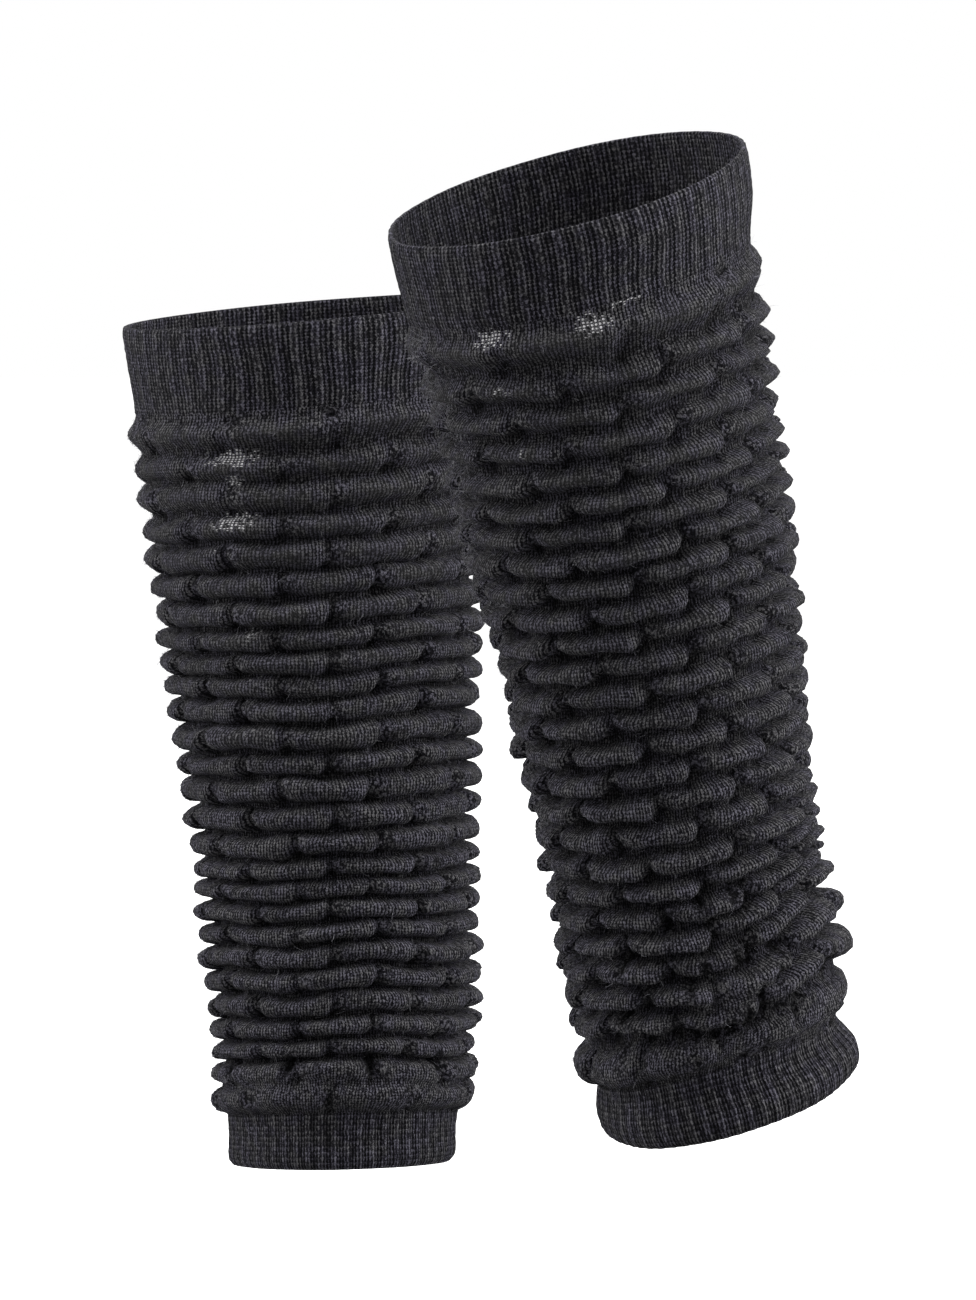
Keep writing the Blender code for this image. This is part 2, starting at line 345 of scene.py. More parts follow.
# The tube's bluntness, how far a roll that stands out sags, as a share of that, and how far a
# pinch's pit lies above the crease, in mm.
blunt = 2.6
sag = 0.06
pitRise = 1.1
columnsRound = 280
crowding = 0.45


def farFrom(where, angle, up, middle, reachUp, reachRound):
    # A spot's squared distance, counted in its own reaches up the leg and round it.
    return ((where - up) / reachUp) ** 2 + (turnedBy(angle, middle) / reachRound) ** 2


def rollBody(name, leg, body):
    height, bulge = np.array(body["rolls"], float).T
    rolls = len(height)
    edges = body["start"] + np.concatenate([[0.0], np.cumsum(height)])
    # Columns crowd together where the pinches stand: share - crowding x sin(20 turns) / 20 turns.
    share = np.arange(columnsRound) / columnsRound
    share = share - crowding * np.sin(4 * math.pi * puffsRound * share) / (4 * math.pi * puffsRound)
    dice = np.random.default_rng(body["seed"])

    # A row of each table is a roll, and a column stands on one wale. Within tells how far a
    # point is through its puff, from the pinch on its left to the pinch on its right.
    around = puffsRound * share + 0.5 * (np.arange(rolls)[:, None] % 2)
    strayed = dice.normal(0, unequal["ends"], (rolls, puffsRound))
    fuller = dice.normal(0, unequal["fullness"], (rolls, puffsRound))
    row = np.arange(rolls)[:, None]

    def puffAt(around):
        # The table places of a point's puff and of the next one, and within.
        puff = np.floor(around).astype(int)
        return (row, puff % puffsRound), (row, (puff + 1) % puffsRound), around - puff

    own, after, within = puffAt(around)
    around = around - strayed[own] * (1 - within)
    around = around - strayed[after] * within
    own, after, within = puffAt(around)
    middle = edges[:-1] + 0.5 * height
    flatter = np.clip((middle - body["flatFrom"]) / (body["flatTo"] - body["flatFrom"]), 0, 1)
    halfWidth, halfDepth = [
        smoothAlong(leg["stations"], leg["table"][side], middle)
        for side in ("halfWidth", "halfDepth")
    ]
    puffLength = 2 * math.pi * (0.5 * (halfWidth + halfDepth) + 0.7 * bulge) / puffsRound
    fromLeft, fromRight = within * puffLength[:, None], (1 - within) * puffLength[:, None]
    gap = np.minimum(fromLeft, fromRight)
    shifted = dice.normal(0, unequal["height"], (rolls, puffsRound))
    full = 1 + fuller[own] * np.sqrt(np.sin(math.pi * within))
    full = full + body["skew"] * (within - 0.5) * np.sin(math.pi * within) ** 0.5
    # Each pinch is drawn in by its own share, from faint to 1.
    drawn = dice.uniform(body["faint"], 1.0, (rolls, puffsRound))
    drawn = np.where(within < 0.5, drawn[own], drawn[after])
    # Puffs are narrower toward their left end.
    taper = body["taper"] * np.clip(1 - within / 0.4, 0, 1) ** 1.5
    stepped = (1 - 2 * within) * (1 - np.exp(-((gap / 0.9) ** 2)))
    strays = shifted[own] * np.sin(math.pi * within) ** 0.5

    # Rings of a roll, from crease to crest to crease, are closest on its flanks.
    flank = np.array([0.0, 0.08, 0.14, 0.21, 0.33, 0.5])
    few = np.concatenate([flank, 1 - flank[-2:0:-1]])
    many = np.linspace(0.0, 1.0, 15)[:-1]
    shares = [many if tall > 13 else few for tall in height]
    perRoll = np.array([len(some) for some in shares])
    ringRoll = np.concatenate([np.repeat(np.arange(rolls), perRoll), [rolls - 1]])
    ringShare = np.concatenate(shares + [[1.0]])

    def ringsAt(roll, level):
        # Outward is bulge x (1 - off^blunt)^0.5, with off from 0 at the crest. Toward a puff's ends
        # this tube narrows and sinks as a circle's arc does: fast at its right, slowly at its left.
        roll, level = np.asarray(roll), np.asarray(level, float)[:, None]
        tall, out = height[roll][:, None], bulge[roll][:, None]
        where = edges[roll][:, None] + level * tall
        about = 2 * math.pi * share
        uneven = 1 + 0.07 * ripple(body["seed"] + 3, about, where, 14.0, 60.0, 24)
        off = np.abs(2 * level - 1) * body["slim"] * uneven
        low = 1 - level
        tipRight = np.clip((fromRight[roll] - body["notch"] * low) / body["rightReach"], 0, 1)
        tipLeft = np.clip((fromLeft[roll] - 0.7 * body["notch"] * low) / body["leftReach"], 0, 1)
        arcRight = np.sqrt(tipRight * (2 - tipRight))
        tip = np.minimum(arcRight, np.sqrt(tipLeft * (2 - tipLeft)))
        rise = np.minimum(arcRight, np.sin(0.5 * math.pi * tipLeft))
        # A pinch draws up a puff's lower edge and hardly moves its upper one.
        drawnUp = (0.35 + 0.95 * low) * (1 - tip)
        narrow = 1 - np.minimum(body["narrowing"] * drawn[roll] * drawnUp, 0.8)
        narrow = narrow * (1 - taper[roll])
        flat = flatter[roll][:, None]

        def tube(narrow):
            # The blunt tube, and a low cosine hump where the rolls are flat.
            gentle = 0.5 + 0.5 * np.cos(math.pi * np.minimum(0.85 * off / narrow, 1))
            return (1 - flat) * np.clip(1 - (off / narrow) ** blunt, 0, 1) ** 0.5 + flat * gentle

        # The foot of the lowest roll and the top of the highest run on into the cuffs unpinched.
        top = (roll[:, None] == rolls - 1) & (level > 0.5)
        foot = (roll[:, None] == 0) & (level < 0.5)
        runsOn = top | foot
        narrow = np.where(runsOn, 1.0, 1 - (1 - narrow) * (1 - 0.6 * flat))
        fall = body["pinchDepth"] * drawn[roll] * (1 - 0.6 * flat) * np.where(runsOn, 0.5, 1.0)
        fall = np.minimum(fall * (0.55 + 0.75 * low), 0.92)
        smooth = 0.5 + 0.5 * np.cos(math.pi * np.minimum(off, 1))
        lobe = np.where(top, smooth, tube(1.0))
        pillow = tube(narrow) * (1 - fall * (1 - rise))
        pillow = np.where(top, smooth * (1 - 0.5 * fall * (1 - rise)), pillow)
        # Round footAngle the lowest roll slopes down to its cuff instead of hanging over it.
        slope = body["softFoot"] * np.exp(-((turnedBy(about, body["footAngle"]) / 75) ** 4)) * foot
        lobe, pillow = lobe + slope * (smooth - lobe), pillow + slope * (smooth - pillow)
        climb = (where - edges[0]) / (edges[-1] - edges[0])
        phase = body["anklePinch"] + climb * (body["calfPinch"] - body["anklePinch"])
        # The wales bow outward toward a puff's ends, most on its crest.
        bow = -body["bend"] * np.sin(2 * math.pi * within[roll]) * np.clip(1 - off**2, 0, 1)
        angle = about + np.radians(phase) + bow * (1 - flat) / girthRadius
        counted = roll[:, None] + level
        ends = np.minimum(1.0, np.minimum(counted, rolls - counted))
        wave = -body["wave"] * ends * tall * np.cos(2 * math.pi * puffsRound * share)
        wave = wave * np.cos(math.pi * counted)
        below, above = np.maximum(roll - 1, 0), np.minimum(roll + 1, rolls - 1)
        middleShare = np.clip(1 - off, 0, 1) ** 0.5

        def eased(table):
            # A roll's own value at its middle, and halfway to its neighbour's at its edge.
            beyond = np.where(level < 0.5, table[below], table[above])
            return middleShare * table[roll] + 0.5 * (1 - middleShare) * (table[roll] + beyond)

        # Puffs step up more round stepAngle.
        turned = turnedBy(angle, body["stepAngle"]) / 62
        size = body["step"] + body["stepMore"] * np.exp(-(turned**2))
        for valley, middleAngle, reachRound, joined in body["joins"]:
            near = (turnedBy(angle, middleAngle) / reachRound) ** 4
            near = near + ((counted - valley) / 0.5) ** 2
            pillow = pillow + (1 - pillow) * joined * np.exp(-near)
        for *spot, more in body["swells"]:
            out = out * (1 + more * np.exp(-farFrom(where, angle, *spot)))
        outward = out * pillow * full[roll]

        def pitNear(some, up):
            # The pit at the nearest pinch of some rolls, by how far up or down it is.
            wide = body["pitReach"]
            return drawn[some] * np.exp(-((gap[some] / wide) ** 2) - (up / (0.9 * wide)) ** 2)

        # A point is between the pits of its own roll and those of the roll above.
        pit = pitNear(roll, level * tall - pitRise) + pitNear(above, (1 - level) * tall + pitRise)
        outward = outward - body["pit"] * ends * pit
        rough = np.exp(-((fromLeft[roll] / 7.0) ** 2)) * lobe * ends
        where = where + wave + ends * (size * eased(stepped) + eased(strays))
        drift, *waves = clothDrift
        where = where + drift * ends * ripple(body["seed"] + 2, angle, where, *waves, 24)
        where = where - sag * outward
        for *spot, lift in body["lifts"]:
            where = where + lift * ends * np.exp(-farFrom(where, angle, *spot))
        where = np.clip(where, edges[0], edges[-1])
        where = where + seamRise(leg, angle) * np.clip(1 - (where - edges[0]) / 40, 0, 1)
        for up, middleAngle, deep in body["puckers"]:
            away = np.hypot((where - up) / 1.25, 1.05 * turnedBy(angle, middleAngle))
            outward = outward - deep * np.exp(-((away / 2.2) ** 2))
            rough = np.maximum(rough, np.exp(-((away / 4.5) ** 2)))
            # The pucker's pit is painted shade only: it darkens the colour through the crest shade
            # and doesn't move the cloth.
            pucker = min(1.7, 0.45 * deep) * np.exp(-((away / (1.7 + 0.3 * deep)) ** 2))
            pit = np.maximum(pit, pucker)
        outward = np.maximum(outward, lowestCloth)
        return where, angle, outward, lobe, pillow, rough, pit

    where, angle, outward, lobe, pillow, rough, pit = ringsAt(ringRoll, ringShare)
    # The cuffs' ribs run on into the end rolls and fade there.
    ribTurn = np.cos(2 * math.pi * (ribsRound * share - 0.25))
    far, near = ribsRunOn["underCalf"], ribsRunOn["overAnkle"]
    fading = np.clip((where - edges[-1] + far) / far, 0, 1) ** 1.5
    besideSeam = np.clip((edges[0] + seamRise(leg, angle) + near - where) / near, 0, 1)
    fading = fading + besideSeam**1.5
    sunkRib = fading * (0.5 - 0.5 * np.tanh(2.0 * ribTurn))
    outward = outward - ribsRunOn["relief"] * sunkRib
    fine, *waves = fineRelief
    uneven = fine + body["crumple"] * rough
    outward = outward + uneven * ripple(body["seed"], angle, where, *waves)
    wide, *waves = wideRelief
    outward = outward + wide * lobe * ripple(body["seed"] + 1, angle, where, *waves)
    outside = legPoints(leg, where, angle, outward)

    # The inside of the cloth shows each roll as a hollow, with two rings to a roll.
    innerRoll = np.concatenate([np.repeat(np.arange(rolls), 2), [rolls - 1]])
    innerShare = np.concatenate([np.tile([0.0, 0.5], rolls), [1.0]])
    innerWhere, innerAngle, innerOut, *_ = ringsAt(innerRoll, innerShare)
    innerOut = np.clip(innerOut, lowestCloth, highestHollow) - bodyWall
    # It gives way inward wherever a pit between its rings would come through it.
    under = 2 * ringRoll + (ringShare >= 0.5)
    rise = np.maximum(innerWhere[under + 1] - innerWhere[under], 0.1)
    part = np.clip((where - innerWhere[under]) / rise, 0, 1)
    behind = innerOut[under] + part * (innerOut[under + 1] - innerOut[under])
    lacking = np.zeros((2 * rolls, columnsRound))
    np.maximum.at(lacking, under, np.maximum(behind + thinnestWall - outward, 0))
    lacking = np.pad(lacking, ((1, 1), (0, 0)))
    innerOut = innerOut - np.maximum(lacking[1:], lacking[:-1])
    inside = legPoints(leg, innerWhere, innerAngle, innerOut)

    # Courses are counted along the cloth, so they follow it over each roll.
    runs = np.linalg.norm(np.diff(outside, axis=0), axis=2)
    cloth = np.concatenate([np.zeros((1, columnsRound)), np.cumsum(runs, axis=0)])
    first = np.concatenate([[0], np.cumsum(perRoll)])
    rollCloth = cloth[first[1:]] - cloth[first[:-1]]
    courses = np.round(rollCloth.mean(axis=1) / courseHeight)
    base = np.concatenate([[0.0], np.cumsum(courses)])
    course = base[ringRoll][:, None] + courses[ringRoll][:, None] * (
        (cloth - cloth[first[ringRoll]]) / rollCloth[ringRoll]
    )
    innerCourse = (base[innerRoll] + courses[innerRoll] * innerShare)[:, None] + 0 * innerWhere
    wale = bodyWales * share

    thin = np.zeros_like(where)
    for *spot, show in body["thinSpots"]:
        thin = np.maximum(thin, show * np.exp(-(farFrom(where, angle, *spot) ** 1.4)))
    # Toward the calf the leg is wider, so the middle of each puff is stretched.
    bell = np.clip(np.sin(math.pi * within) * 1.3 - 0.3, 0, 1)[ringRoll]
    stretched = bell * pillow**2 * np.clip((where - 120.0) / 110.0, 0.0, 1.0)
    # Crest shade is painted shade: how light the cloth is, from its height and its pits, and darker
    # in the sunk ribs that run on from the cuffs. The end rolls stay light where they slope to
    # their cuffs and where they run under the calf cuff.
    shown = np.clip(pillow * (1 - pit) - 0.9 * pit, -0.9, 1)
    unpitted = 1 - np.clip(pit, 0, 1)
    sloping = np.exp(-((turnedBy(angle, body["footAngle"]) / 80) ** 4))
    sloping = body["softFoot"] * besideSeam * sloping * unpitted
    shown = shown + 0.7 * sloping * (1 - shown)
    underCuff = np.clip((where - edges[-1] + 9.0) / 9.0, 0, 1) * unpitted
    shown = shown + 0.7 * underCuff * (1 - shown)
    shown, rough = shown - 0.35 * sunkRib, np.clip(rough, 0, 1)
    marks = {"crest": shown, "crumple": rough, "thin": thin, "stretched": stretched}
    dark = np.zeros_like(innerWhere)
    marks = {mark: np.concatenate([values, dark]) for mark, values in marks.items()}
    rings = np.concatenate([outside, inside[::-1]])
    stitches = np.broadcast_to(wale, rings.shape[:2]), np.concatenate([course, innerCourse[::-1]])
    piece = knitTube(name, rings, bodyWales, stitches, marks)
    print("%s: %d rolls, %.0f mm of cloth along it" % (name, rolls, cloth[-1].mean()))
    return piece, edges[-1], outside


# Brushed wool sheds loose fibres: thin bent hairs that stand off the rolls and soften the outline.
looseFibre = {
    "count": 6400,
    "brightRimAngle": -94.0,
    "share": 0.60,
    "spread": 0.09,
    "shortest": 0.5,
    "longest": 1.9,
    "radius": 0.052,
    "thinning": 0.6,
    "lean": 0.9,
    "curl": 1.6,
}
pointsPerHair = 12


def looseFibres(name, surface, seed):
    # A hair runs root + length x (t x way + t^2 x curl), t from 0 to 1, with four rings of three
    # points round it that get thinner toward its tip.
    dice = np.random.default_rng(seed)
    count = looseFibre["count"]
    ring = dice.integers(2, len(surface) - 3, count)
    column = dice.integers(0, surface.shape[1], count)
    # A share of the hairs is bunched round one angle on the left side, where their pale colour
    # paints a bright rim of light down the outline.
    columns = surface.shape[1]
    atRim = dice.normal(0, looseFibre["spread"] / 4, count)
    atRim = columns * (looseFibre["brightRimAngle"] / 360 + atRim)
    there = dice.random(count) < looseFibre["share"]
    column = np.where(there, np.round(atRim).astype(int), column) % columns
    root = surface[ring, column]
    alongCloth = surface[ring + 1, column] - surface[ring - 1, column]
    roundCloth = surface[ring, (column + 1) % columns] - surface[ring, column - 1]
    normal = np.cross(roundCloth, alongCloth)
    normal = normal / np.maximum(np.linalg.norm(normal, axis=1, keepdims=True), 1e-9)
    way = normal + looseFibre["lean"] * dice.normal(0, 1, (count, 3))
    way = way / np.linalg.norm(way, axis=1, keepdims=True)
    outwards = np.sum(way * normal, axis=1, keepdims=True)
    way = way - 1.6 * np.minimum(outwards, 0) * normal
    curl = looseFibre["curl"] * dice.normal(0, 0.4, (count, 3))
    length = dice.uniform(looseFibre["shortest"], looseFibre["longest"], (count, 1, 1))
    t = np.linspace(0, 1, 4)[None, :, None]
    middle = root[:, None] + length * (t * way[:, None] + t * t * curl[:, None])
    sideA = np.cross(way, dice.normal(0, 1, (count, 3)))
    sideA = sideA / np.linalg.norm(sideA, axis=1, keepdims=True)
    sideB = np.cross(way, sideA)
    turn = 2 * math.pi * np.arange(3)[:, None] / 3
    circle = np.cos(turn) * sideA[:, None, None] + np.sin(turn) * sideB[:, None, None]
    thick = looseFibre["radius"] * (1 - looseFibre["thinning"] * t)[..., None]
    points = middle[:, :, None] + thick * circle
    first = pointsPerHair * np.arange(count)[:, None, None]
    here = np.arange(pointsPerHair).reshape(4, 3)
    beside = np.roll(here, -1, axis=1)
    quads = np.stack([here[:-1], beside[:-1], beside[1:], here[1:]], -1)
    quads = (first[..., None] + quads).reshape(-1, 4)
    ends = (first + np.array([[2, 1, 0], [9, 10, 11]])).reshape(-1, 3)
    corners = np.concatenate([quads.ravel(), ends.ravel()])
    starts = np.concatenate([4 * np.arange(len(quads)), quads.size + 3 * np.arange(len(ends))])
    piece = addPiece(name, points, corners, starts)
    print("%s: %d fibres" % (name, count))
    return piece


# Cuffs: two wales of a rib stand out and two are sunk between them. The ribs drift a little from
# side to side, and the edge at the hem or rim is drawn in and rounded over. Course is the height
# of a course, and shade is how much painted shade darkens its sunk wales and its inside.
calfCuff = {"relief": 0.28, "wall": 1.5, "drift": 0.35, "tuck": 0.5}
ankleCuff = {"relief": 0.34, "wall": 1.6, "drift": 0.18, "tuck": 2.0, "shade": 0.75}
leftTopCuff = {**calfCuff, "course": 1.24, "shade": 0.62, "seed": 31}
leftBottomCuff = {**ankleCuff, "course": 1.55, "seed": 32}
rightTopCuff = {**calfCuff, "course": 1.40, "shade": 0.42, "seed": 33}
rightBottomCuff = {**ankleCuff, "course": 1.65, "seed": 34}
insideShade = 0.42
columnsPerRib = 10
# All cuffs, in mm: height of a ring of points, how far the cuff goes on under the body, reach of
# its tucked edge and of its fading ribs, and the amounts of its wide and fine relief.
ringGap = 1.5
hiddenEdge = 1.6
tuckReach = 5.0
ribsFade = 6.0
cuffWaves = 0.30
cuffFine = 0.07
cuffRadius = 55.0


def ribCuff(name, leg, start, end, openAtTop, cuff, phase):
    # Outward is relief x the rib's own profile, and the inside runs parallel to it a wall further
    # in, so that a ridge outside is a furrow inside.
    columns = ribsRound * columnsPerRib
    share = np.arange(columns) / columns
    around = 2 * math.pi * share + math.radians(phase)
    steps = max(8, int(round((end - start) / ringGap)))
    level = np.linspace(0.0, 1.0, steps + 1)
    sunk = np.zeros(steps + 2)
    # The end under the body goes on a little beneath its first roll, a hair further in. The lip
    # turns over the free edge: rows of height and how far out.
    if openAtTop:
        heights = np.concatenate([[start - hiddenEdge], start + level * (end - start)])
        sunk[:2] = -0.5, -0.05
        lip = np.array([[end + 0.30, -0.30], [end + 0.42, -0.75], [end + 0.30, -1.2]])
    else:
        heights = np.concatenate([start + level * (end - start), [end + hiddenEdge]])
        sunk[-2:] = -0.05, -0.5
        lip = np.array([[start + 0.12, -0.30], [start, -0.75], [start + 0.30, -1.2]])

    def ribs(height):
        drift = cuff["drift"] * ripple(cuff["seed"], 2 * math.pi * share, height, 24.0, 70.0, 24)
        angle = around + drift / cuffRadius
        # Two wales stand out and climb to an edge that drops away within one stitch.
        turn = (ribsRound * share) % 1.0
        climb = np.clip((turn + 0.05) / 0.15, 0, 1)
        fall = np.clip((turn - 0.45) / 0.10, 0, 1)
        stands = climb * (0.7 + 0.6 * np.clip(turn, 0, 0.5)) * (1 - fall)
        return angle, -cuff["relief"] * (1 - stands)

    def tucked(height):
        # Toward the free edge the cloth turns in along a quarter of a circle.
        near = height - end + tuckReach if openAtTop else start + tuckReach - height
        near = near / tuckReach
        return -cuff["tuck"] * (1 - np.sqrt(1 - np.clip(near, 0, 1) ** 2))

    def fromBody(levels):
        return levels - start if openAtTop else end - levels

    def slack(levels, angle, height):
        # The cuff's loose, wide waves die out in the 4 mm next to the body.
        waves = cuffWaves * ripple(cuff["seed"] + 5, angle, height, 30.0, 90.0)
        return waves * np.clip(fromBody(levels) / 4, 0, 1)[:, None]

    seam = 0 * around if openAtTop else seamRise(leg, around)
    up = heights[:, None] + seam * heights[:, None] / (end - start)
    angle, ridge = ribs(up)
    soft = slack(heights, angle, up)
    fine = cuffFine * ripple(cuff["seed"] + 6, angle, up, 2.2, 5.0)
    outside = legPoints(leg, up, angle, ridge + sunk[:, None] + soft + fine + tucked(up))
    lipUp, lipOut = lip[:, :1], lip[:, 1:]
    lipAngle, lipRidge = ribs(lipUp)
    lipSoft = slack(lip[:, 0], lipAngle, lipUp)
    edge = legPoints(leg, lipUp, lipAngle, 0.7 * lipRidge + lipOut + lipSoft + tucked(lipUp))
    inLevels = np.linspace(heights[0], heights[-1], max(6, steps // 2))[::-1]
    inUp = inLevels[:, None] + seam * inLevels[:, None] / (end - start)
    inAngle, inRidge = ribs(inUp)
    inSoft = slack(inLevels, inAngle, inUp)
    inside = legPoints(leg, inUp, inAngle, inRidge - cuff["wall"] + inSoft + tucked(inUp))
    # Painted shade: the sunk wales are darker by how deep they lie, and the rolled lip a little
    # darker.
    face = 1 + ridge / cuff["relief"] + 0 * up
    lipFace = 0.7 + 0 * lipUp + 0 * lipRidge
    # Painted shade: the inside is darkened by insideShade, the same for every cuff.
    inFace = -0.9 - 0.8 * inRidge / cuff["relief"] + 0 * inUp
    inFace = 1 - (1 - inFace) * insideShade / cuff["shade"]
    if openAtTop:
        rings = np.concatenate([outside, edge, inside])
        levels = np.concatenate([heights, lip[:, 0], inLevels])
        crest = np.concatenate([face, lipFace, inFace])
    else:
        rings = np.concatenate([outside, inside, edge[::-1]])
        levels = np.concatenate([heights, inLevels, lip[::-1, 0]])
        crest = np.concatenate([face, inFace, lipFace])
    count = len(rings)
    wale = np.broadcast_to(cuffWales * share, (count, columns))
    course = np.broadcast_to((levels / cuff["course"])[:, None], (count, columns))
    # Toward the body the ribs' painted shade fades out, as the ribs fade into the rolls on the
    # other side.
    fade = 0.8 * (1 - np.clip(fromBody(levels) / ribsFade, 0, 1))[:, None]
    crest = np.where(crest < 0, crest, crest + fade * (1 - crest))
    crest = 1 - cuff["shade"] * (1 - crest)
    marks = {"crest": crest, "crumple": 0 * crest, "thin": 0 * crest, "stretched": 0 * crest}
    piece = knitTube(name, rings, cuffWales, (wale, course), marks)
    print("%s: %d ribs, %d rings" % (name, ribsRound, count))
    return piece


def addNode(tree, kind, settings=None, inputs=None):
    # One shader node: settings are its own, and an input takes a value, a socket, or a node
    # whose first output feeds it.
    node = tree.nodes.new("ShaderNode" + kind)
    for key, value in (settings or {}).items():
        setattr(node, key, value)
    for key, value in (inputs or {}).items():
        if isinstance(value, bpy.types.Node):
            value = value.outputs[0]
        if isinstance(value, bpy.types.NodeSocket):
            tree.links.new(value, node.inputs[key])
        else:
            node.inputs[key].default_value = value
    return node


def fromHex(colour):
    # An sRGB hex value as linear red, green, blue and alpha.
    parts = [int(colour[i : i + 2], 16) / 255 for i in (1, 3, 5)]
    return (*[p / 12.92 if p <= 0.04045 else ((p + 0.055) / 1.055) ** 2.4 for p in parts], 1.0)


# Fine wool, plain knit and brushed by wear: dark anthracite with a cold cast, quite matt, each
# stitch a small V with a dark gap beside it, a real hole with painted shade in it, and loose
# fibres that catch light at the edges. Gap and shade are painted shade, glint a painted highlight.
woolMerino = {
    "gap": "#06060C",
    "shade": "#1B1A20",
    "stitch": "#434248",
    "fuzz": "#6F6E76",
    "glint": "#A4A3AA",
    "pale": "#F6F5F8",
    "stretched": "#484848",
    "olive": (1.01, 1.0, 0.95, 1.0),
    "violet": (0.99, 0.96, 1.09, 1.0),
    # In stitches: how far the yarn wanders, also where crumpled, and how courses climb and slip.
    "wander": 0.30,
    "crumpled": 0.8,
    "climb": 0.9,
    "slip": 0.30,
    # The dark hole at a stitch's corners, a real hole with painted shade in it, and how light its
    # side and its row's edge stay under their painted shade.
    "narrow": (3.3, 2.4, 0.0),
    "hole": 0.50,
    "holeRim": 1.15,
    "side": 0.14,
    "sideWidth": 0.30,
    "row": 0.50,
    "rowWidth": 0.26,
    "rowLight": 1.1,
    # Least and most light on a stroke, on a few stitches together and on a blotch.
    "lit": (0.30, 2.50),
    "chance": (0.74, 1.24),
    "blotch": (0.92, 1.10),
    "fibre": 4.2,
    "stray": 0.35,
    "ribbed": False,
    "bumpDepth": 0.00045,
    "roughness": 0.95,
    "specular": 0.20,
    "sheen": 0.15,
    "sheenRoughness": 0.45,
    "sheenTint": "#C4C4CA",
}
# The ribs are less worn than the rolls, so their stitches are more alike.
evenWool = {
    "ribbed": True,
    "wander": 0.12,
    "narrow": (2.7, 2.1, 0.0),
    "hole": 0.60,
    "side": 0.22,
    "row": 0.80,
    "slip": 0.16,
    "lit": (0.40, 1.56),
    "chance": (0.92, 1.09),
    "fibre": 3.0,
    "blotch": (0.97, 1.03),
    # Joined lightens the raised wales, sunken darkens the sunk ones and edge paints a highlight up
    # each rib: painted light and shade.
    "joined": (0.62, 0.34),
    "sunken": -0.06,
    "edge": 0.40,
}
# Grains of each pattern in a metre of cloth.
grains = {
    "wander": 480.0,  # 2.1 mm, two stitches
    "curl": 820.0,  # 1.2 mm, a loop of slack yarn
    "chance": 620.0,  # 1.6 mm, a stitch and a half
    "fibre": 1700.0,  # 0.6 mm, since real fibres of 0.03 mm are too fine to show
    "blotch": 75.0,  # 13 mm, a rubbed place
    "dye": 150.0,  # 7 mm, uneven dye
}


